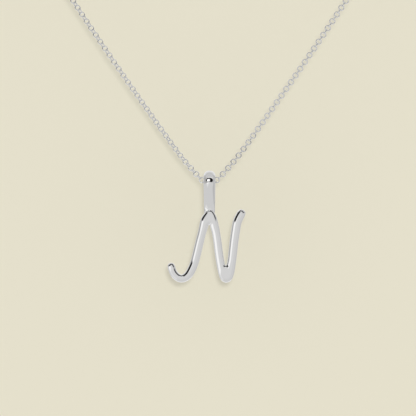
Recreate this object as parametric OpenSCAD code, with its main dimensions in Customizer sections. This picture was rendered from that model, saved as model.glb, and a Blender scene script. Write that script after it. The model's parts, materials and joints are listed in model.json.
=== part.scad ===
// Silver initial pendant: a script letter N cast in one with its tapered bail, hanging free on a
// fine round-link chain that goes round a neck and closes with a plain clasp at the nape.
// Millimetres. The origin is the middle of the clasp, where the chain sits on the nape.
// +Z is up, -Y is the front, where the pendant hangs, and +X is to the right seen from the front.

/* [Letter] */
// Width of the letter over its hooked foot and the tip of its arm
letter_w = 15.7; // [14:0.1:18]
// Height of the letter from its lowest curve to the tip of its arm
letter_h = 14.8; // [13:0.1:17]
// Width of a stroke seen from the front
stroke_w = 1.7; // [1.5:0.05:1.9]
// Thickness of the letter from front to back
letter_t = 1.6; // [1.5:0.05:2.1]
// Fullness of the section of a stroke: 2 is an ellipse, and more has a flatter face
stroke_fullness = 3; // [2:0.1:4]

/* [Bail] */
// Width of the bail where it goes over the chain
bail_w = 2.35; // [2:0.05:3]
// Width of the bail where it meets the letter
bail_foot_w = 2.1; // [1.6:0.05:2.4]
// Thickness of the bail's rounded wall over the chain
bail_wall = 1.2; // [0.8:0.05:1.5]
// Thickness of the bail's wall where it meets the letter
bail_foot_wall = 0.4; // [0.35:0.05:0.6]
// Fullness of the bail's rounded outside: 2 is half an ellipse, and more has a flatter front
bail_fullness = 2.5; // [2:0.1:3.5]
// Distance from the middle of the chain in the bail to the middle of the letter's peak
bail_drop = 6.2; // [6:0.1:8]
// Height above the middle of the letter's peak at which the bail's two straps meet
neck_h = 1.5; // [1.2:0.1:2.5]
// Gap between the chain and the two edges of the bail that ride on it
bail_gap = 0.08; // [0.05:0.01:0.15]

/* [Chain] */
// Outside width of the chain's round links
chain_w = 1.3; // [1:0.05:1.5]
// Gap between the end of the chain and the eye of the clasp
chain_end_gap = 0.15; // [0.1:0.05:0.3]

/* [Clasp] */
// Outside diameter of the clasp's ring
clasp_d = 5.2; // [4.5:0.1:7]
// Thickness of the clasp's ring
clasp_wire = 0.9; // [0.7:0.05:1.2]
// Outside diameter of the eye at each side of the clasp
eye_d = 2; // [1.8:0.1:2.6]
// Thickness of the eye's wire
eye_wire = 0.45; // [0.35:0.05:0.5]

/* [Hidden] */

// Middle line of the chain's right half, from its lowest point, in the bail, up to the side of the
// nape. The left half mirrors it. The columns are x, y and z from the lowest point.
ROUTE = [
    [0, 0, 0],
    [1.3, 0, 0.45],
    [2.6, 0, 1.7],
    [5.2, 0, 4.7],
    [8.2, 0, 8.7],
    [15, 0, 18.3],
    [21, 0, 27],
    [27, 0, 36],
    [33, 1, 45.5],
    [41, 5, 57],
    [50, 13, 69],
    [57, 26, 80],
    [60.5, 42, 88],
    [60, 58, 93.5],
    [55, 75, 97.5],
    [46, 89, 100.5],
    [33, 100, 102.5],
    [18, 106, 103.5],
];
// Where the nape lies from the chain's lowest point
nape = [0, 108, 104];
// Spacing of the rings that each span of the chain's route gets beside its own, the number of sides of
// the chain's envelope, and the steps in which its top is found in the bail
ring_step = 12;
chain_sides = 8;
top_steps = 6;

// Middle line of the letter's stroke, from the tip of the hooked foot up to the peak, down to the
// lowest turn and up to the tip of the arm. The columns are how far across and how far up the letter
// the middle lies, and the width there as a share of stroke_w. Nought and one are the outermost
// places of a middle line of full width.
LETTER = [
    [0.000, 0.190, 0.89],
    [0.028, 0.100, 0.91],
    [0.075, 0.037, 0.94],
    [0.130, 0.006, 0.94],
    [0.190, 0.015, 0.96],
    [0.255, 0.075, 1.00],
    [0.315, 0.200, 1.00],
    [0.352, 0.323, 0.99],
    [0.406, 0.567, 0.98],
    [0.443, 0.720, 0.97],
    [0.461, 0.811, 0.97],
    [0.483, 0.905, 0.98],
    [0.526, 0.967, 0.99],
    [0.551, 0.991, 0.99],
    [0.576, 0.960, 0.99],
    [0.602, 0.888, 0.98],
    [0.622, 0.802, 0.97],
    [0.638, 0.720, 0.96],
    [0.660, 0.567, 0.96],
    [0.678, 0.415, 0.98],
    [0.700, 0.262, 0.98],
    [0.728, 0.110, 0.98],
    [0.755, 0.028, 1.00],
    [0.787, 0.004, 1.00],
    [0.818, 0.030, 1.00],
    [0.843, 0.115, 1.00],
    [0.864, 0.262, 1.01],
    [0.881, 0.415, 1.02],
    [0.897, 0.567, 1.03],
    [0.918, 0.720, 1.05],
    [0.944, 0.873, 1.04],
    [1.000, 0.996, 1.04],
];
// The two sharp turns, at the peak and at the foot. The columns are the row of the turn, the rows
// where it begins and ends, the side that its crotch is on, and the place of the crotch across and
// up from the row's middle, in stroke widths.
TURNS = [
    [13, 9, 17, 1, -0.07, -1.4],
    [23, 20, 26, -1, -0.07, 1.68],
];
crotch_r = 0.15;
// Where the peak is, and how far it lies to the right of the bail's middle
PEAK = LETTER[13];
peak_offset = 0.06;
// Steps between two rows of the letter, the turns that round its ends off, and the number of points
// round its section
letter_steps = 2;
END_TURNS = [30, 55, 80];
section_points = 18;

// The bail's arch over the chain in steps, the half turn that each of its slices takes up, how far its
// feet run on into the letter's peak and how far its two straps run into each other below the neck
ARCH_STEP_ANGLE = 12;
SLICE_ANGLE = 1;
foot_sink = 0.25;
strap_overlap = 0.1;

// A point on the smooth curve through points, between number i and the next, at share t
function at(points, i) = points[max(0, min(len(points) - 1, i))];
function smooth(points, i, t) =
    let (a = at(points, i - 1), b = at(points, i), c = at(points, i + 1), d = at(points, i + 2))
    0.5 * (2 * b + (c - a) * t + (2 * a - 5 * b + 4 * c - d) * t * t
        + (3 * b - a - 3 * c + d) * t * t * t);

// The smooth curve through points, cut into as many steps as counts says for each span
function curve(points, counts) = concat(
    [for (i = [0:len(points) - 2], k = [0:counts[i] - 1]) smooth(points, i, k / counts[i])],
    [points[len(points) - 1]]
);

function unit(v) = v / norm(v);

// A solid through rings of points, all with as many points, and closed with a flat face at each end
module sweep(rings) {
    sides = len(rings[0]);
    last = len(rings) - 1;
    polyhedron(
        points = [for (ring = rings) each ring],
        faces = concat(
            [[for (k = [0:sides - 1]) k]],
            [for (i = [0:last - 1], k = [0:sides - 1])
                let (a = i * sides + k, b = i * sides + (k + 1) % sides)
                each [[a, a + sides, b], [b, a + sides, b + sides]]],
            [[for (k = [sides - 1:-1:0]) last * sides + k]]
        )
    );
}

// The chain's route from the left end, down through the bail and up to the right end
eye_reach = (clasp_d - clasp_wire - eye_wire) / 2 + eye_d;
route_end = [eye_reach + chain_end_gap, nape.y, nape.z];
right_half = concat(ROUTE, [route_end]);
left_half = [for (i = [len(right_half) - 1:-1:1]) [-right_half[i].x, right_half[i].y, right_half[i].z]];
route = concat(left_half, right_half);
route_counts = [for (i = [0:len(route) - 2]) 1 + ceil(norm(route[i + 1] - route[i]) / ring_step)];
chain_line = curve(route, route_counts);

// Half of the bail's opening over the chain: it clears the top of the chain where that rises to the
// bail's edges. The columns of the tops are how far out and how high they are.
bail_line = curve(ROUTE, [for (p = ROUTE) top_steps]);
chain_tops = [for (i = [0:len(bail_line) - 1])
    let (way = unit(at(bail_line, i + 1) - at(bail_line, i - 1)))
    [bail_line[i].x - chain_w / 2 * way.z, bail_line[i].z + chain_w / 2 * way.x]];
bail_r = lookup(bail_w / 2, chain_tops) + bail_gap;

// The bail's two straps close in on each other below the chain, meet at the neck, and run on from there
// straight down into the peak
neck = [strap_overlap / 2, neck_h - bail_drop];
foot_z = -bail_drop - foot_sink;
lean = asin(bail_r / norm(neck)) + atan(neck.x / -neck.y);
neck_w = bail_w + (bail_foot_w - bail_w) * neck.y / foot_z;

// The slices of the bail, from the foot of the front strap over the arch to the foot of the back
// one. The columns are the place of the middle of its inside in y and z, the angle that its outside
// faces, its width and its thickness.
arch_angle = 180 + 2 * lean;
arch_count = ceil(arch_angle / ARCH_STEP_ANGLE);
arch_rows = [for (i = [0:arch_count])
    let (angle = 180 + lean - arch_angle * i / arch_count)
    [bail_r * cos(angle), bail_r * sin(angle), angle, bail_w, bail_wall]];
bail_rows = concat(
    [[neck.x, foot_z, 180, bail_foot_w, bail_foot_wall]],
    [[neck.x, neck.y, 180 + lean / 2, neck_w, bail_foot_wall]],
    arch_rows,
    [[-neck.x, neck.y, -lean / 2, neck_w, bail_foot_wall]],
    [[-neck.x, foot_z, 0, bail_foot_w, bail_foot_wall]]
);

// A power that keeps the sign
function signed(v, power) = sign(v) * pow(abs(v), power);

// The corners of one slice of the bail: flat towards the chain and rounded on the outside. It is a
// wedge, with its sharp side on the bail's inside.
function bail_slice(row) = [
    for (turn = [-SLICE_ANGLE, SLICE_ANGLE], a = [0:15:180])
        let (
            across = row[3] / 2 * signed(cos(a), 2 / bail_fullness),
            deep = row[4] * signed(sin(a), 2 / bail_fullness)
        )
        [across, row[0] + deep * cos(row[2] + turn), row[1] + deep * sin(row[2] + turn)]
];

module bail() {
    for (i = [0:len(bail_rows) - 2]) {
        corners = concat(bail_slice(bail_rows[i]), bail_slice(bail_rows[i + 1]));
        hull()
            polyhedron(points = corners, faces = [[for (k = [0:len(corners) - 1]) k]]);
    }
}

// The place of a row of the letter's table, from the middle of the peak
function letter_place(row) = [
    (row.x - PEAK.x) * (letter_w - stroke_w),
    0,
    (row.y - PEAK.y) * (letter_h - stroke_w)
];

// The section of the stroke between the two edges of the letter's face at a place. Where it is wider
// than the stroke, its rounded edges stay as they are and its flat face gets wider.
function section(left, right, deep) =
    let (
        across = (right - left) / 2,
        half = min(norm(across), stroke_w / 2),
        apart = norm(across) - half
    )
    [for (k = [0:section_points - 1])
        let (a = 360 * k / section_points)
        (left + right) / 2
            + (sign(cos(a)) * apart + signed(cos(a), 2 / stroke_fullness) * half) * unit(across)
            + [0, deep * signed(sin(a), 2 / stroke_fullness), 0]];

letter_line = curve(LETTER, [for (row = LETTER) letter_steps]);
function letter_way(i) = unit(letter_place(at(letter_line, i + 1)) - letter_place(at(letter_line, i - 1)));

// The edge of the letter's face at number i of its line: side 1 is to the right of the way ahead. In
// a sharp turn the inner edge stays at the crotch.
function letter_edge(i, side) =
    let (
        way = letter_way(i),
        half = letter_line[i].z * stroke_w / 2,
        own = letter_place(letter_line[i]) + side * half * [way.z, 0, -way.x],
        here = [for (turn = TURNS)
            if (side == turn[3] && i > turn[1] * letter_steps && i < turn[2] * letter_steps) turn]
    )
    len(here) == 0 ? own :
    let (
        crotch = letter_place(LETTER[here[0][0]]) + stroke_w * [here[0][4], 0, here[0][5]],
        opposite = letter_edge(i, -side)
    )
    crotch + crotch_r * unit(opposite - crotch);

// The section at number i of the line, where the stroke is rounded off at an end
function end_section(i, turn) =
    let (
        way = letter_way(i),
        half = letter_line[i].z * stroke_w / 2,
        middle = letter_place(letter_line[i]) + half * sin(turn) * way,
        across = half * cos(turn) * [way.z, 0, -way.x],
        share = pow(1 - pow(abs(sin(turn)), stroke_fullness), 1 / stroke_fullness)
    )
    section(middle - across, middle + across, share * letter_t / 2);

module letter() {
    last = len(letter_line) - 1;
    sweep(concat(
        [for (k = [len(END_TURNS) - 1:-1:0]) end_section(0, -END_TURNS[k])],
        [for (i = [0:last]) section(letter_edge(i, -1), letter_edge(i, 1), letter_t / 2)],
        [for (turn = END_TURNS) end_section(last, turn)]
    ));
}

// The letter and its bail, one piece of cast silver, placed from the middle of the chain in the bail
module pendant() {
    color("silver")
        translate(-nape) {
            bail();
            translate([peak_offset, 0, -bail_drop]) letter();
        }
}

// One ring of points round the chain's line at number i, square to the line
function along(i) = unit(at(chain_line, i + 1) - at(chain_line, i - 1));
function chain_ring(i) =
    let (
        place = chain_line[i],
        ahead = along(i),
        outwards = [place.x, place.y - nape.y / 2, 0],
        u = unit(outwards - (outwards * ahead) * ahead),
        v = cross(ahead, u)
    )
    [for (k = [0:chain_sides - 1])
        place + chain_w / 2 * (cos(360 * k / chain_sides) * u + sin(360 * k / chain_sides) * v)];

// The envelope of the chain's links, as one tube along its whole length
module chain() {
    color("gainsboro")
        translate(-nape)
            sweep([for (i = [0:len(chain_line) - 1]) chain_ring(i)]);
}

// A closed round ring of wire, flat against the nape
module wire_ring(outside, wire) {
    rotate([90, 0, 0])
        rotate_extrude($fn = 64)
            translate([(outside - wire) / 2, 0])
                circle(d = wire, $fn = 32);
}

// The clasp, fastened: its ring and the eye at each side that a chain end's last link goes through
module clasp() {
    color("silver") {
        wire_ring(clasp_d, clasp_wire);
        for (side = [-1, 1])
            translate([side * (eye_reach - eye_d / 2), 0, 0])
                wire_ring(eye_d, eye_wire);
    }
}

pendant();
chain();
clasp();
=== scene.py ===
# The looks of a silver letter pendant on a fine round-link chain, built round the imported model.
# Metres, in the model's own frame: +Z is up, -Y is the front, and the origin is the clasp.

import json
import math
from collections import namedtuple

import bmesh
import bpy
from mathutils import Matrix, Vector


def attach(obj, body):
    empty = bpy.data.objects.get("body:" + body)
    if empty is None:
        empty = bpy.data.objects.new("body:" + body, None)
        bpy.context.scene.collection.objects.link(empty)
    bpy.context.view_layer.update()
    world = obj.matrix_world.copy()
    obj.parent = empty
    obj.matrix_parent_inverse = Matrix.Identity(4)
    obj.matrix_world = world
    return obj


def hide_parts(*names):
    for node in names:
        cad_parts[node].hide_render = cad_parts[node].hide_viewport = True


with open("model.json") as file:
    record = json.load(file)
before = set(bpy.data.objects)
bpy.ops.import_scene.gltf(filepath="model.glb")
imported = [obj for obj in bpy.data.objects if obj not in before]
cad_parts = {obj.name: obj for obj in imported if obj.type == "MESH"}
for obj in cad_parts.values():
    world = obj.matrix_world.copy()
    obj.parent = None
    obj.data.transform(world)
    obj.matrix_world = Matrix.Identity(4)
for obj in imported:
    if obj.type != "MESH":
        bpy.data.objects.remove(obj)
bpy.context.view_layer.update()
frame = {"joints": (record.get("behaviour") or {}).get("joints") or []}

MM = 0.001

# The middle of the chain where it goes through the bail, which the pendant swings about
PIVOT = Vector(frame["joints"][0]["pos_m"])

# The letter over all, its stroke, its thickness from front to back, and how far the middle of its peak
# lies to the right of the bail's
LETTER_W = 15.7 * MM
LETTER_H = 14.8 * MM
STROKE_W = 1.7 * MM
LETTER_T = 1.6 * MM
PEAK_OFFSET = 0.06 * MM

# The bail's width and wall over the chain and at the letter, and the inside radius of its bend
BAIL_W = 2.35 * MM
BAIL_FOOT_W = 2.1 * MM
BAIL_WALL = 1.2 * MM
BAIL_FOOT_WALL = 0.4 * MM
BAIL_R = 1.244 * MM
# How far the middle of the letter's peak lies below the pivot, how high above it the two straps meet,
# how far below it they end, and how far they run into each other
BAIL_DROP = 6.2 * MM
NECK_H = 1.5 * MM
FOOT_SINK = 0.25 * MM
STRAP_OVERLAP = 0.1 * MM

# The chain's links, the clasp's ring and the eye at each of its sides, outside, and their wires
LINK_D = 1.3 * MM
LINK_WIRE = 0.24 * MM
CLASP_D = 5.2 * MM
CLASP_WIRE = 0.9 * MM
EYE_D = 2 * MM
EYE_WIRE = 0.45 * MM

# Middle line of the letter's stroke, from the tip of the hooked foot up to the peak, down to the
# lowest turn and up to the tip of the arm. The columns are how far across and how far up the letter
# the middle lies, and the width there as a share of STROKE_W.
LETTER = [
    (0.000, 0.190, 0.89),
    (0.028, 0.100, 0.91),
    (0.075, 0.037, 0.94),
    (0.130, 0.006, 0.94),
    (0.190, 0.015, 0.96),
    (0.255, 0.075, 1.00),
    (0.315, 0.200, 1.00),
    (0.352, 0.323, 0.99),
    (0.406, 0.567, 0.98),
    (0.443, 0.720, 0.97),
    (0.461, 0.811, 0.97),
    (0.483, 0.905, 0.98),
    (0.526, 0.967, 0.99),
    (0.551, 0.991, 0.99),
    (0.576, 0.960, 0.99),
    (0.602, 0.888, 0.98),
    (0.622, 0.802, 0.97),
    (0.638, 0.720, 0.96),
    (0.660, 0.567, 0.96),
    (0.678, 0.415, 0.98),
    (0.700, 0.262, 0.98),
    (0.728, 0.110, 0.98),
    (0.755, 0.028, 1.00),
    (0.787, 0.004, 1.00),
    (0.818, 0.030, 1.00),
    (0.843, 0.115, 1.00),
    (0.864, 0.262, 1.01),
    (0.881, 0.415, 1.02),
    (0.897, 0.567, 1.03),
    (0.918, 0.720, 1.05),
    (0.944, 0.873, 1.04),
    (1.000, 0.996, 1.04),
]
PEAK_ROW = 13
LOWEST_ROW = 23
# The two sharp turns, at the peak and at the foot. The columns are the row of the turn, the rows
# where it begins and ends, the side that its crotch is on, and the place of the crotch across and up
# from the row's middle, in stroke widths.
TURNS = [
    (PEAK_ROW, 9, 17, 1, -0.07, -1.4),
    (LOWEST_ROW, 20, 26, -1, -0.07, 1.68),
]
# How far from the crotch the inner edge goes round it
CROTCH_R = 0.15 * MM

# Middle line of the chain's right half in millimetres from its lowest point, in the bail, up to the
# side of the nape. The left half mirrors it.
ROUTE = [
    (0, 0, 0),
    (1.3, 0, 0.45),
    (2.6, 0, 1.7),
    (5.2, 0, 4.7),
    (8.2, 0, 8.7),
    (15, 0, 18.3),
    (21, 0, 27),
    (27, 0, 36),
    (33, 1, 45.5),
    (41, 5, 57),
    (50, 13, 69),
    (57, 26, 80),
    (60.5, 42, 88),
    (60, 58, 93.5),
    (55, 75, 97.5),
    (46, 89, 100.5),
    (33, 100, 102.5),
    (18, 106, 103.5),
]
# How many degrees each half of the chain is rolled about its own line in front, and how far from the
# bail the roll is full
LEFT_ROLL = 28
RIGHT_ROLL = 4
ROLL_RUN = 7 * MM

# The photograph's frame: what it spans at the pivot, and how far its middle lies from the pivot. Then
# how far the camera is away, and the width of its sensor in the camera's own millimetres.
FRAME_W = 83.2 * MM
FRAME_X = -0.3 * MM
FRAME_Z = -5.02 * MM
CAMERA_AWAY = 0.6
SENSOR = 36

# The card behind the pendant, clear of its swing, and the floor below. Each fades out over its rim
# into the beige that the camera sees behind all things, which is the colour of the card's paper too.
CARD_GAP = 24 * MM
CARD_SIZE = 98 * MM
CARD_TOP = 40.5 * MM
CARD_RIM = 1.5 * MM
FLOOR_Z = -0.2
FLOOR_R = 1.3
FLOOR_RIM = 0.65
FLOOR_SIDES = 64
BEIGE = (0.776, 0.738, 0.597)

# The light on the card in shares, from all round and from the key lamp. Together they are a little
# over 1, which brings the card to the photograph's tone.
FILL = 0.8
KEY = 0.22
# The lamp is a little to the right of the camera and above it, so each shadow on the card lies beside
# its piece. The wider it is, the softer they are.
KEY_X = 11 * MM
KEY_Z = 20 * MM
KEY_D = 27 * MM

# The turn that stands up what lies flat, so that it faces the front, and levels the camera
STANDING = (math.pi / 2, 0, 0)


# Small helpers


def smooth(points, i, t):
    """A point on the smooth curve through points, between number i and the next, at share t."""
    a, b, c, d = (Vector(near(points, i + k)) for k in (-1, 0, 1, 2))
    return 0.5 * (2 * b + (c - a) * t + (2 * a - 5 * b + 4 * c - d) * t * t
                  + (3 * b - a - 3 * c + d) * t * t * t)


def curve(points, steps):
    """The smooth curve through points, each span cut into steps."""
    line = [smooth(points, i, k / steps) for i in range(len(points) - 1) for k in range(steps)]
    return line + [Vector(points[-1])]


def near(line, i):
    """Member i of a list, or its end."""
    return line[max(0, min(len(line) - 1, i))]


# The radius of a new circle, which is then brought to size, and how near two of its places count as one
START_R = 1
START_NEAR = 0.1


def start_mesh(name, sides, middle, rotation, fill):
    """A circle at its place, in edit mode, as the start of a piece."""
    bpy.ops.object.select_all(action="DESELECT")
    bpy.ops.mesh.primitive_circle_add(
        vertices=sides, radius=START_R, fill_type=fill, location=middle, rotation=rotation)
    bpy.ops.object.transform_apply(location=True, rotation=True, scale=True)
    piece = bpy.context.object
    piece.name = piece.data.name = name
    bpy.ops.object.mode_set(mode="EDIT")
    bpy.ops.mesh.select_all(action="SELECT")
    return piece


def pick(piece, chosen, among=None):
    """Selects the points of the mesh in edit mode whose place chosen says yes to, and nothing else."""
    mesh = bmesh.from_edit_mesh(piece.data)
    bpy.ops.mesh.select_all(action="DESELECT")
    for point in among or mesh.verts:
        point.select_set(bool(chosen(point.co)))
    mesh.select_flush(True)
    bmesh.update_edit_mesh(piece.data)


def turn_about(middle, angle, axis="Y"):
    """Turns what is selected about an axis. Without a window the operator turns the other way."""
    bpy.ops.transform.rotate(value=-angle, orient_axis=axis, center_override=middle)


def finish_mesh(piece):
    """Faces outwards, and back to object mode."""
    bpy.ops.mesh.select_all(action="SELECT")
    bpy.ops.mesh.normals_make_consistent(inside=False)
    bpy.ops.object.mode_set(mode="OBJECT")


def take_up(piece):
    """Selects the piece alone."""
    bpy.ops.object.select_all(action="DESELECT")
    piece.select_set(True)
    bpy.context.view_layer.objects.active = piece


def modify(piece, kind, **values):
    """Adds a modifier with these values and applies it."""
    take_up(piece)
    change = piece.modifiers.new(kind.lower(), kind)
    for name, value in values.items():
        setattr(change, name, value)
    bpy.ops.object.modifier_apply(modifier=change.name)


def subdivide(piece, levels=2):
    """Rounds the piece off."""
    modify(piece, "SUBSURF", levels=levels, render_levels=levels)


def fuse(piece, other):
    """Joins a second closed shape to the piece, as solder does."""
    modify(piece, "BOOLEAN", operation="UNION", solver="EXACT", use_self=True, object=other)
    bpy.data.objects.remove(other)


def shade(piece, sharpest=40):
    """Smooth shading, but for edges sharper than so many degrees."""
    take_up(piece)
    bpy.ops.object.shade_smooth_by_angle(angle=math.radians(sharpest))


# The letter: one stroke, drawn through a section at each place of its middle line

# The angles of a section's points in each quarter, how full it is, where 2 is an ellipse, and in how
# many rounds its points are found
QUARTER = (0, 30, 58, 90)
SECTION_SIDES = 4 * (len(QUARTER) - 1)
FULLNESS = 3
SECTION_ROUNDS = 20
# How many steps each row of LETTER is drawn in, and how many degrees round an end its sections go
LETTER_STEPS = 3
END_TURNS = (30, 55, 78)
# Points of a section nearer to its middle line than this lie on it
MIDDLE_NEAR = 0.01 * MM

letter_line = curve(LETTER, LETTER_STEPS)

# A section of the stroke: its middle, its turn about Y, half its width and depth, and how far its two
# rounded sides are moved apart where it is wider than the stroke
Section = namedtuple("Section", "middle turned half_wide half_deep apart")


def full_section():
    """The points of one quarter of a section of half width 1 and half depth 1. They stand out by as much
    as subdivision draws them in, to a sixth of both neighbours and four times the point itself."""
    angles = QUARTER + tuple(180 - a for a in QUARTER[-2::-1])
    angles += tuple(180 + a for a in angles[1:-1])
    wanted = []
    for angle in angles:
        c, s = math.cos(math.radians(angle)), math.sin(math.radians(angle))
        wanted.append(Vector([math.copysign(abs(v) ** (2 / FULLNESS), v) for v in (c, s)]))
    points = wanted
    for _ in range(SECTION_ROUNDS):
        sides = zip(points[-1:] + points[:-1], points, points[1:] + points[:1], wanted)
        points = [p + w - (a + 4 * p + b) / 6 for a, p, b, w in sides]
    return points[:len(QUARTER)]


def letter_place(row):
    """Where the middle of a row of LETTER is."""
    peak = LETTER[PEAK_ROW]
    return Vector((
        PIVOT.x + PEAK_OFFSET + (row[0] - peak[0]) * (LETTER_W - STROKE_W),
        PIVOT.y,
        PIVOT.z - BAIL_DROP + (row[1] - peak[1]) * (LETTER_H - STROKE_W),
    ))


def letter_way(i):
    """The way ahead along the letter's line."""
    return (letter_place(near(letter_line, i + 1)) - letter_place(near(letter_line, i - 1))).normalized()


def letter_edge(i, side):
    """The edge of the letter's face: side 1 is to the right of the way ahead. In a sharp turn the inner
    edge stays at the crotch."""
    way = letter_way(i)
    half = near(letter_line, i)[2] * STROKE_W / 2
    own = letter_place(letter_line[i]) + side * half * Vector((way.z, 0, -way.x))
    for row, first, last, crotch_side, across, up in TURNS:
        if side == crotch_side and first * LETTER_STEPS < i < last * LETTER_STEPS:
            crotch = letter_place(LETTER[row]) + STROKE_W * Vector((across, 0, up))
            return crotch + CROTCH_R * (letter_edge(i, -side) - crotch).normalized()
    return own


def section(left, right, half_deep):
    """The section between two edges of the letter's face."""
    across = (right - left) / 2
    half = min(across.length, STROKE_W / 2)
    return Section(
        (left + right) / 2, math.atan2(-across.z, across.x), half, half_deep, across.length - half)


def end_section(i, turn):
    """A section where the stroke is rounded off at an end, turn degrees past it."""
    way = letter_way(i)
    half = letter_line[i][2] * STROKE_W / 2
    middle = letter_place(letter_line[i]) + half * math.sin(math.radians(turn)) * way
    across = half * math.cos(math.radians(turn)) * Vector((way.z, 0, -way.x))
    share = (1 - math.sin(math.radians(abs(turn))) ** FULLNESS) ** (1 / FULLNESS)
    return section(middle - across, middle + across, share * LETTER_T / 2)


def letter_sections():
    """All sections of the stroke, from the hooked foot to the tip of the arm."""
    last = len(letter_line) - 1
    foot = [end_section(0, -turn) for turn in reversed(END_TURNS)]
    stroke = [section(letter_edge(i, -1), letter_edge(i, 1), LETTER_T / 2) for i in range(last + 1)]
    return foot + stroke + [end_section(last, turn) for turn in END_TURNS]


def move_apart(piece, middle, by):
    """Moves the two halves of what is selected apart along X."""
    mesh = bmesh.from_edit_mesh(piece.data)
    ring = [point for point in mesh.verts if point.select]
    for side in (-1, 1):
        pick(piece, lambda p: side * (p.x - middle.x) > MIDDLE_NEAR, ring)
        bpy.ops.transform.translate(value=(side * by, 0, 0))
    pick(piece, lambda p: True, ring)


def fill_out(piece, middle):
    """Moves the points of the new circle to those of the full section, alike in all four quarters."""
    for number, full in enumerate(full_section()):
        angle = 2 * math.pi * number / SECTION_SIDES
        x, y = math.cos(angle), math.sin(angle)
        pick(piece, lambda p: max(
            abs(abs(p.x - middle.x) - x), abs(abs(p.y - middle.y) - y)) < START_NEAR)
        bpy.ops.transform.resize(
            value=(full.x / x if number < len(QUARTER) - 1 else 1, full.y / y if number else 1, 1),
            center_override=middle)
    bpy.ops.mesh.select_all(action="SELECT")


def draw_on(piece, here, there):
    """Draws the stroke on from one section to the next. Each turn and each gap between the two sides is
    taken out before the section is resized, and the new one put in after."""
    bpy.ops.mesh.extrude_region_move(TRANSFORM_OT_translate={"value": there.middle - here.middle})
    turn_about(there.middle, -here.turned)
    if here.apart:
        move_apart(piece, there.middle, -here.apart)
    bpy.ops.transform.resize(
        value=(there.half_wide / here.half_wide, there.half_deep / here.half_deep, 1),
        center_override=there.middle)
    if there.apart:
        move_apart(piece, there.middle, there.apart)
    turn_about(there.middle, there.turned)


def make_letter():
    sections = letter_sections()
    first = sections[0]
    piece = start_mesh("letter_stroke", SECTION_SIDES, first.middle, (0, 0, 0), "NGON")
    fill_out(piece, first.middle)
    bpy.ops.transform.resize(value=(first.half_wide, first.half_deep, 1), center_override=first.middle)
    turn_about(first.middle, first.turned)
    for here, there in zip(sections, sections[1:]):
        draw_on(piece, here, there)
    finish_mesh(piece)
    subdivide(piece)
    return piece


# The bail: a rounded band that is bent over the chain, with two straps that close in on each other at
# the neck and run on down into the letter's peak

BAIL_SIDES = 12
# What the band's points stand out by, and those between the axes more, for a full section
BAIL_SHARE = 1.047
SHOULDER_SHARE = 1.055
ARCH_STEPS = 8
STRAP_STEPS = 5
NECK_STEPS = 2
# Points nearer to each other than this are merged
WELD = 0.001 * MM


def start_band():
    """The section of the bail's band at the top of its bend: rounded outside and flat inside."""
    top = PIVOT + Vector((0, 0, BAIL_R))
    piece = start_mesh("bail_band", BAIL_SIDES, top, STANDING, "NOTHING")
    pick(piece, lambda p: min(abs(p.x - top.x), abs(p.z - top.z)) > START_NEAR)
    bpy.ops.transform.resize(value=(SHOULDER_SHARE,) * 3, center_override=top)
    bpy.ops.mesh.select_all(action="SELECT")
    bpy.ops.transform.resize(
        value=(BAIL_W / 2 * BAIL_SHARE, 1, BAIL_WALL * BAIL_SHARE), center_override=top)
    pick(piece, lambda p: p.z < top.z)
    bpy.ops.transform.resize(value=(1, 1, 0), center_override=top)
    bpy.ops.mesh.select_all(action="SELECT")
    return piece


def draw_strap(inside, steps):
    """Draws the band on down the front strap, from where its inside is, and closes it. The columns of
    steps are the way of each step, its turn and how far the wall has come to the foot's."""
    width, wall = BAIL_W, BAIL_WALL
    for step, turned, share in steps:
        inside = inside + step
        next_width = BAIL_W + (BAIL_FOOT_W - BAIL_W) * (PIVOT.z - inside.z) / (BAIL_DROP + FOOT_SINK)
        next_wall = BAIL_WALL + (BAIL_FOOT_WALL - BAIL_WALL) * share
        bpy.ops.mesh.extrude_region_move(TRANSFORM_OT_translate={"value": step})
        bpy.ops.transform.resize(
            value=(next_width / width, next_wall / wall, next_wall / wall), center_override=inside)
        if turned:
            turn_about(inside, -turned, "X")
        width, wall = next_width, next_wall
    bpy.ops.mesh.edge_face_add()


def make_bail():
    piece = start_band()

    # Where the inside of the front strap is at the neck, and how far the strap leans to get there
    neck = Vector((0, STRAP_OVERLAP / 2, NECK_H - BAIL_DROP))
    lean = math.asin(BAIL_R / neck.length) + math.atan(neck.y / -neck.z)
    bpy.ops.mesh.spin(steps=ARCH_STEPS, angle=-(math.pi / 2 + lean), center=PIVOT, axis=(1, 0, 0))
    inside = PIVOT - BAIL_R * Vector((0, math.cos(lean), math.sin(lean)))
    strap = PIVOT + neck - inside
    foot = Vector((0, 0, -NECK_H - FOOT_SINK))
    steps = [(strap / STRAP_STEPS, 0, k / STRAP_STEPS) for k in range(1, STRAP_STEPS)]
    steps += [(strap / STRAP_STEPS, lean / 2, 1), (foot / NECK_STEPS, lean / 2, 1)]
    steps += [(foot / NECK_STEPS, 0, 1)] * (NECK_STEPS - 1)
    draw_strap(inside, steps)

    # The back half mirrors the front one
    bpy.ops.mesh.select_all(action="SELECT")
    bpy.ops.mesh.duplicate()
    bpy.ops.transform.mirror(constraint_axis=(False, True, False), center_override=PIVOT)
    bpy.ops.mesh.select_all(action="SELECT")
    bpy.ops.mesh.remove_doubles(threshold=WELD)
    finish_mesh(piece)
    subdivide(piece)
    return piece


def make_pendant():
    piece = make_letter()
    fuse(piece, make_bail())
    piece.name = piece.data.name = "pendant_silver"
    shade(piece)
    return piece


# The chain: round wire links that pass through each other, each turned a quarter from the last

# The number of sides round a link and round its wire, and of steps in each span of the route
LINK_SIDES = 12
LINK_WIRE_SIDES = 6
LINE_STEPS = 12
QUARTER_TURN = math.pi / 2


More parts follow.
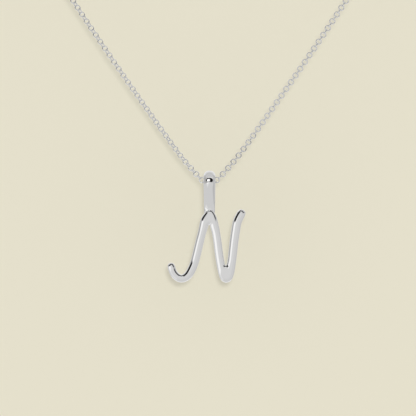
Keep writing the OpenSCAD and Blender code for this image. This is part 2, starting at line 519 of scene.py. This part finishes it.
def chain_side(side):
    """The middle line of one half of the chain, from the bail to the clasp, as close points. It ends
    in the clasp's eye, where the wire of the last link lies against the wire of the eye."""
    eye_reach = (CLASP_D - CLASP_WIRE - EYE_WIRE) / 2 + EYE_D
    last_link = Vector((eye_reach - EYE_WIRE - LINK_WIRE + LINK_D / 2, 0, 0))
    points = [PIVOT + Vector(p) * MM for p in ROUTE] + [last_link]

    # The line is drawn from a point of the other half, so that the halves meet without a kink
    before = PIVOT + Vector((-ROUTE[1][0], ROUTE[1][1], ROUTE[1][2])) * MM
    line = curve([before] + points, LINE_STEPS)[LINE_STEPS:]
    return [Vector((side * p.x, p.y, p.z)) for p in line]


def link_places(side):
    """The place of each link of one half: its middle, the way of the chain there, and how far along
    it lies. Number 0 is the link in the bail."""
    line = chain_side(side)
    runs = [0]
    for a, b in zip(line, line[1:]):
        runs.append(runs[-1] + (b - a).length)
    pitch = LINK_D - 2 * LINK_WIRE
    count = math.ceil(runs[-1] / pitch)
    places, k = [], 0
    for n in range(count + 1):
        run = runs[-1] * n / count
        while k < len(line) - 2 and runs[k + 1] < run:
            k += 1
        share = (run - runs[k]) / (runs[k + 1] - runs[k])
        places.append((line[k].lerp(line[k + 1], share), (line[k + 1] - line[k]).normalized(), run))
    return places


def link_matrices(side):
    """Where each link of one half goes. The roll starts from straight to the front in the bail and goes
    along the chain without a twist. It takes up its own angle soon, and what the clasp's eye asks over
    the second half of the way."""
    places = link_places(side)
    face, faces = Vector((0, -1, 0)), []
    for middle, way, run in places:
        face = (face - face.dot(way) * way).normalized()
        faces.append(face)
    own_roll = math.radians(LEFT_ROLL if side < 0 else RIGHT_ROLL)

    # The clasp's eye stands upright, so the last link lies flat, whether its number is even or odd. A
    # half turn makes no difference to a ring, so its roll is the one that is nearest to its own.
    end_way, last = places[-1][1], len(places) - 1
    wanted = Vector((0, 0, 1)) if last % 2 == 0 else Vector((0, 1, 0))
    flat = wanted - wanted.dot(end_way) * end_way
    end_roll = math.atan2(end_way.cross(faces[-1]).dot(flat), faces[-1].dot(flat))
    end_roll = (end_roll - own_roll + QUARTER_TURN) % math.pi - QUARTER_TURN + own_roll

    whole = places[-1][2]
    matrices = []
    for number, ((middle, way, run), face) in enumerate(zip(places, faces)):
        early = own_roll * min(1, run / ROLL_RUN)
        late = max(0, run / whole * 2 - 1)
        roll = early + (end_roll - own_roll) * late + QUARTER_TURN * (number % 2)
        axis = Matrix.Rotation(roll, 3, way) @ face
        turned = Matrix((way, axis.cross(way), axis)).transposed().to_4x4()
        matrices.append(Matrix.Translation(middle) @ turned)
    return matrices


def make_chain():
    bpy.ops.object.select_all(action="DESELECT")
    bpy.ops.mesh.primitive_torus_add(
        major_segments=LINK_SIDES, minor_segments=LINK_WIRE_SIDES,
        major_radius=(LINK_D - LINK_WIRE) / 2, minor_radius=LINK_WIRE / 2)
    link = bpy.context.object
    bpy.ops.object.shade_smooth()
    link.select_set(False)
    for place in link_matrices(1) + link_matrices(-1)[1:]:
        copy = link.copy()
        copy.data = link.data.copy()
        copy.matrix_world = place
        bpy.context.collection.objects.link(copy)
        copy.select_set(True)
        bpy.context.view_layer.objects.active = copy
    bpy.data.objects.remove(link)
    bpy.ops.object.join()
    bpy.ops.object.transform_apply(location=True, rotation=True, scale=True)
    piece = bpy.context.object
    piece.name = piece.data.name = "chain_links"
    return piece


# The clasp: a plain closed ring with an eye at each side

# The number of sides round each ring and round its wire
CLASP_SIDES = (96, 24)
EYE_SIDES = (48, 16)


def add_ring(x, outside, wire, sides):
    """A ring of wire that stands at x."""
    bpy.ops.object.select_all(action="DESELECT")
    bpy.ops.mesh.primitive_torus_add(
        location=(x, 0, 0), rotation=STANDING, major_segments=sides[0],
        minor_segments=sides[1], major_radius=(outside - wire) / 2, minor_radius=wire / 2)
    bpy.ops.object.transform_apply(location=True, rotation=True, scale=True)
    return bpy.context.object


def make_clasp():
    piece = add_ring(0, CLASP_D, CLASP_WIRE, CLASP_SIDES)
    eye_x = (CLASP_D - CLASP_WIRE) / 2 + (EYE_D - EYE_WIRE) / 2
    for side in (-1, 1):
        fuse(piece, add_ring(side * eye_x, EYE_D, EYE_WIRE, EYE_SIDES))
    piece.name = piece.data.name = "clasp_ring"
    shade(piece)
    return piece


# Finishes

# The colour of each silver, how deep its waves and its fine lines are as shares of MARK_DEPTH, and how
# much duller its patches are
PENDANT_SILVER = ((0.93, 0.925, 0.92), 0.5, 0.03, 0.04)
CHAIN_SILVER = ((0.92, 0.915, 0.91), 0.3, 0.05, 0.12)
MARK_DEPTH = 0.01 * MM
# How rough the silver is between its duller patches
LEAST_ROUGH = 0.03
# How many of each mark go in a metre, or nearly so, and how much finer detail each has. The lines are
# drawn out along Z.
WAVES = (420, 1)
LINES = (9000, 2)
PATCHES = (900, 3)
LINE_STRETCH = (1, 1, 0.2)


def node(tree, kind, values=None, **settings):
    """Adds a node, with values for its sockets by number or name and settings for the node itself."""
    made = tree.nodes.new(kind)
    for name, value in settings.items():
        setattr(made, name, value)
    for socket, value in (values or {}).items():
        if isinstance(value, bpy.types.NodeSocket):
            tree.links.new(value, made.inputs[socket])
        else:
            made.inputs[socket].default_value = value
    return made


def maths(tree, operation, *values):
    """What a Math node makes of these values."""
    return node(tree, "ShaderNodeMath", dict(enumerate(values)), operation=operation).outputs[0]


def noise(tree, place, scale, detail):
    """A cloudy pattern between 0 and 1."""
    values = {"Vector": place, "Scale": scale, "Detail": detail}
    return node(tree, "ShaderNodeTexNoise", values).outputs["Fac"]


def ease(tree, value, low, high):
    """Goes smoothly from 0 to 1 while the value goes from low to high."""
    return node(tree, "ShaderNodeMapRange", {
        0: value, 1: low, 2: high, 3: 0, 4: 1}, interpolation_type="SMOOTHSTEP").outputs[0]


def new_group(name, inputs, outputs):
    """A node group with these sockets, and what it is given."""
    group = bpy.data.node_groups.new(name, "ShaderNodeTree")
    for names, in_out in ((inputs, "INPUT"), (outputs, "OUTPUT")):
        for socket in names:
            group.interface.new_socket(socket, in_out=in_out, socket_type="NodeSocketFloat")
    return group, node(group, "NodeGroupInput").outputs


def new_material(name):
    """A material without nodes, and its node tree."""
    made = bpy.data.materials.new(name)
    made.use_nodes = True
    made.node_tree.nodes.clear()
    return made, made.node_tree


def polish_group():
    """The marks that a polishing wheel and wear leave on silver: soft waves from the casting, fine
    lines, and patches that are a little duller."""
    group, given = new_group("polish marks", ("Wave", "Lines", "Dull"), ("Height", "Roughness"))
    place = node(group, "ShaderNodeTexCoord").outputs["Object"]
    stretched = node(group, "ShaderNodeMapping", {"Vector": place, "Scale": LINE_STRETCH}).outputs[0]
    wave = maths(group, "MULTIPLY", noise(group, place, *WAVES), given["Wave"])
    lines = maths(group, "MULTIPLY", noise(group, stretched, *LINES), given["Lines"])
    dull = maths(group, "MULTIPLY", noise(group, place, *PATCHES), given["Dull"])
    node(group, "NodeGroupOutput", {
        "Height": maths(group, "ADD", wave, lines),
        "Roughness": maths(group, "ADD", dull, LEAST_ROUGH)})
    return group


def silver(name, polish, colour, wave, lines, dull):
    made, tree = new_material(name)
    marks = node(tree, "ShaderNodeGroup", node_tree=polish)
    for socket, value in (("Wave", wave), ("Lines", lines), ("Dull", dull)):
        marks.inputs[socket].default_value = value
    bump = node(tree, "ShaderNodeBump", {
        "Height": marks.outputs["Height"], "Strength": 1, "Distance": MARK_DEPTH})
    shader = node(tree, "ShaderNodeBsdfPrincipled", {
        "Base Color": (*colour, 1), "Metallic": 1, "Roughness": marks.outputs["Roughness"],
        "Normal": bump.outputs[0]})
    node(tree, "ShaderNodeOutputMaterial", {"Surface": shader.outputs[0]})
    return made


def finish(piece, material, body, replaced):
    """Gives a piece its material, hangs it on the body that it moves with, and hides the imported part
    that it stands in for.
    """
    piece.data.materials.clear()
    piece.data.materials.append(material)
    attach(piece, body)
    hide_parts(replaced)


# The stage: a card behind the pendant, a floor, the light of a white studio and the camera


def fading_paper(name, colour, reach, rim, square):
    """Plain paper that fades out over its rim, and isn't there from behind."""
    made, tree = new_material(name)
    place = node(tree, "ShaderNodeTexCoord").outputs["Object"]
    if square:
        apart = node(tree, "ShaderNodeSeparateXYZ", {0: place}).outputs
        wide = maths(tree, "ABSOLUTE", apart[0])
        high = maths(tree, "ABSOLUTE", apart[1])
        distance = maths(tree, "MAXIMUM", wide, high)
    else:
        distance = node(tree, "ShaderNodeVectorMath", {0: place}, operation="LENGTH").outputs["Value"]
    behind = node(tree, "ShaderNodeNewGeometry").outputs["Backfacing"]
    clear = maths(tree, "MAXIMUM", ease(tree, distance, reach - rim, reach), behind)
    paper = node(tree, "ShaderNodeBsdfDiffuse", {"Color": (*colour, 1)})
    nothing = node(tree, "ShaderNodeBsdfTransparent")
    mixed = node(tree, "ShaderNodeMixShader", {0: clear, 1: paper.outputs[0], 2: nothing.outputs[0]})
    node(tree, "ShaderNodeOutputMaterial", {"Surface": mixed.outputs[0]})
    return made


def standing_square(name, size, middle, material):
    """A square that faces the front."""
    bpy.ops.object.select_all(action="DESELECT")
    bpy.ops.mesh.primitive_plane_add(size=size, location=middle, rotation=STANDING)
    square = bpy.context.object
    square.name = name
    square.data.materials.append(material)
    return square


def make_stage():
    middle = PIVOT + Vector((FRAME_X, CARD_GAP, CARD_TOP - CARD_SIZE / 2))
    paper = fading_paper("card paper", BEIGE, CARD_SIZE / 2, CARD_RIM, square=True)
    card = standing_square("card", CARD_SIZE, middle, paper)
    card.visible_glossy = False

    # Away from the lamp only the fill lights the floor, so its paper is brighter by as much
    bpy.ops.object.select_all(action="DESELECT")
    bpy.ops.mesh.primitive_circle_add(
        vertices=FLOOR_SIDES, radius=FLOOR_R, fill_type="NGON", location=(0, PIVOT.y / 2, FLOOR_Z))
    floor = bpy.context.object
    floor.name = "floor"
    floor.data.materials.append(
        fading_paper("floor paper", [c / FILL for c in BEIGE], FLOOR_R, FLOOR_RIM, square=False))
    floor.visible_glossy = False
    floor.visible_diffuse = False
    floor.visible_shadow = False


# What the silver mirrors, as seen from the pendant. The first two columns are a direction's turn about
# the line to the front, where 0 is up and it grows to the right, and the next two how far it is away
# from the front, all in degrees. Then come how soft the edges are and the brightness. A later row lies
# over the ones before it.
STUDIO = [
    (-180, 180, 0, 180, 1, 0.64),  # all round
    (-220, 220, -20, 14, 6, 0.69),  # round the camera
    (-150, -105, 18, 52, 6, 0.76),  # low on the left
    (-110, -62, 11, 50, 4, 0.97),  # the bright wall on the left
    (-92, -50, 34, 125, 6, 0.40),  # grey beyond that wall
    (60, 150, 72, 120, 10, 0.50),  # grey on the right
    (128, 235, 92, 220, 6, 0.88),  # low behind on the right
    (-235, -128, 92, 220, 6, 0.88),  # low behind on the left
    (-60, 60, 85, 118, 8, 0.58),  # above, and then further and further behind
    (-60, 60, 118, 140, 6, 0.74),
    (-70, 70, 140, 220, 6, 0.85),
    (-27, 30, 17, 30, 3, 0.78),  # the light strip above the camera
    (-74, -27, 18, 62, 3, 0.012),  # the black flags above it, from left to right
    (-29, 30, 29, 62, 3, 0.012),
    (28, 74, 23, 58, 3, 0.05),
]
# The small screen close in front of the bail, which the bail's bend mirrors. The columns are left,
# right, bottom and top in millimetres from the middle of its lower edge, how soft the edges are and
# the brightness.
SCREEN = [
    (-16, 16, 0, 32, 1, 0.78),  # all over
    (-18, 18, 11, 34, 2, 0.58),  # grey above
    (-18, 18, -2, 7.4, 0.5, 0.012),  # black below
    (-10, -6, 5, 9.5, 0.6, 0.05),  # higher black on the left
    (8.6, 18, -2, 1.6, 0.5, 0.78),  # the light lower corners
    (-18, -8.6, -2, 1.6, 0.5, 0.78),
    (-5.9, 0.5, 0.8, 4.4, 0.8, 1.3),  # the lamp in the black
]
# How far the screen is in front of the pivot, its side, and how far its lower edge is above the pivot
SCREEN_AWAY = 8.5 * MM
SCREEN_SIZE = 32 * MM
SCREEN_LOW = 1 * MM


def soft_box_group():
    """Yes inside a box, with soft edges."""
    edges = ("Left", "Right", "Bottom", "Top", "Soft")
    group, given = new_group("soft box", ("Across", "Up") + edges, ("Inside",))
    inside = 1
    for low, high in (("Left", "Across"), ("Across", "Right"), ("Bottom", "Up"), ("Up", "Top")):
        past = maths(group, "SUBTRACT", given[high], given[low])
        share = maths(group, "DIVIDE", past, given["Soft"])
        inside = maths(group, "MULTIPLY", inside, ease(group, share, -1, 1))
    node(group, "NodeGroupOutput", {"Inside": inside})
    return group


def layers(tree, box, across, up, rows):
    """The brightness that the rows of a table give at a place across and up. The first is all over."""
    light = node(tree, "ShaderNodeValue").outputs[0]
    light.default_value = rows[0][-1]
    for *edges, bright in rows[1:]:
        inside = node(tree, "ShaderNodeGroup", node_tree=box)
        tree.links.new(across, inside.inputs["Across"])
        tree.links.new(up, inside.inputs["Up"])
        for name, value in zip(("Left", "Right", "Bottom", "Top", "Soft"), edges):
            inside.inputs[name].default_value = value
        light = node(tree, "ShaderNodeMix", {0: inside.outputs[0], 2: light, 3: bright}).outputs[0]
    return light


def make_world(box):
    """The light all round: the silver mirrors STUDIO, the camera sees plain beige, and the rest is lit
    by an even white."""
    world = bpy.data.worlds.new("studio")
    bpy.context.scene.world = world
    world.use_nodes = True
    world.cycles.sampling_method = "NONE"
    tree = world.node_tree
    tree.nodes.clear()
    towards = node(tree, "ShaderNodeTexCoord").outputs["Generated"]
    right, back, up = node(tree, "ShaderNodeSeparateXYZ", {0: towards}).outputs
    turn = maths(tree, "DEGREES", maths(tree, "ARCTAN2", right, up))
    away = maths(tree, "DEGREES", maths(tree, "ARCCOSINE", maths(tree, "MULTIPLY", back, -1)))
    light = layers(tree, box, turn, away, STUDIO)
    mirrored = node(tree, "ShaderNodeBackground", {"Color": light, "Strength": 1})
    fill = node(tree, "ShaderNodeBackground", {"Color": (1, 1, 1, 1), "Strength": FILL})
    seen = node(tree, "ShaderNodeBackground", {"Color": (*BEIGE, 1), "Strength": 1})
    ray = node(tree, "ShaderNodeLightPath")
    others = node(tree, "ShaderNodeMixShader", {
        0: ray.outputs["Is Glossy Ray"], 1: fill.outputs[0], 2: mirrored.outputs[0]})
    all_rays = node(tree, "ShaderNodeMixShader", {
        0: ray.outputs["Is Camera Ray"], 1: others.outputs[0], 2: seen.outputs[0]})
    node(tree, "ShaderNodeOutputWorld", {"Surface": all_rays.outputs[0]})


def make_screen(box):
    """The screen close in front of the bail. Only the silver sees it."""
    made, tree = new_material("screen")
    place = node(tree, "ShaderNodeTexCoord").outputs["Object"]
    apart = node(tree, "ShaderNodeSeparateXYZ", {0: place}).outputs
    across = maths(tree, "DIVIDE", apart[0], MM)
    up = maths(tree, "DIVIDE", maths(tree, "ADD", apart[1], SCREEN_SIZE / 2), MM)
    light = layers(tree, box, across, up, SCREEN)
    shader = node(tree, "ShaderNodeEmission", {"Color": light, "Strength": 1})
    node(tree, "ShaderNodeOutputMaterial", {"Surface": shader.outputs[0]})
    middle = PIVOT + Vector((0, -SCREEN_AWAY, SCREEN_LOW + SCREEN_SIZE / 2))
    screen = standing_square("screen", SCREEN_SIZE, middle, made)
    for kind in ("camera", "diffuse", "transmission", "volume_scatter", "shadow"):
        setattr(screen, "visible_" + kind, False)


def make_lamp():
    aim = PIVOT + Vector((FRAME_X, CARD_GAP, FRAME_Z))
    place = PIVOT + Vector((FRAME_X + KEY_X, -CAMERA_AWAY, FRAME_Z + KEY_Z))
    way = aim - place
    bpy.ops.object.light_add(
        type="AREA", location=place, rotation=way.to_track_quat("-Z", "Y").to_euler())
    lamp = bpy.context.object
    lamp.name = "key"
    lamp.data.shape = "DISK"
    lamp.data.size = KEY_D
    # With this power the lamp lights what it faces as much as a white room of brightness KEY does
    lamp.data.energy = KEY * (math.pi * way.length) ** 2
    lamp.visible_glossy = False
    lamp.visible_camera = False


def make_camera():
    bpy.ops.object.camera_add(
        location=PIVOT + Vector((FRAME_X, -CAMERA_AWAY, FRAME_Z)), rotation=STANDING)
    camera = bpy.context.object
    camera.data.sensor_width = SENSOR
    camera.data.lens = SENSOR * CAMERA_AWAY / FRAME_W
    bpy.context.scene.camera = camera


make_camera()
make_lamp()
soft_box = soft_box_group()
make_world(soft_box)
make_screen(soft_box)
make_stage()
bpy.context.scene.view_settings.view_transform = "Standard"
# What the silver mirrors lights nothing else, so the card stays even
bpy.context.scene.cycles.caustics_reflective = False

polish = polish_group()
pendant_silver = silver("pendant silver", polish, *PENDANT_SILVER)
chain_silver = silver("chain silver", polish, *CHAIN_SILVER)
finish(make_pendant(), pendant_silver, "letter", "pendant")
finish(make_chain(), chain_silver, "necklace", "chain")
finish(make_clasp(), pendant_silver, "necklace", "clasp")
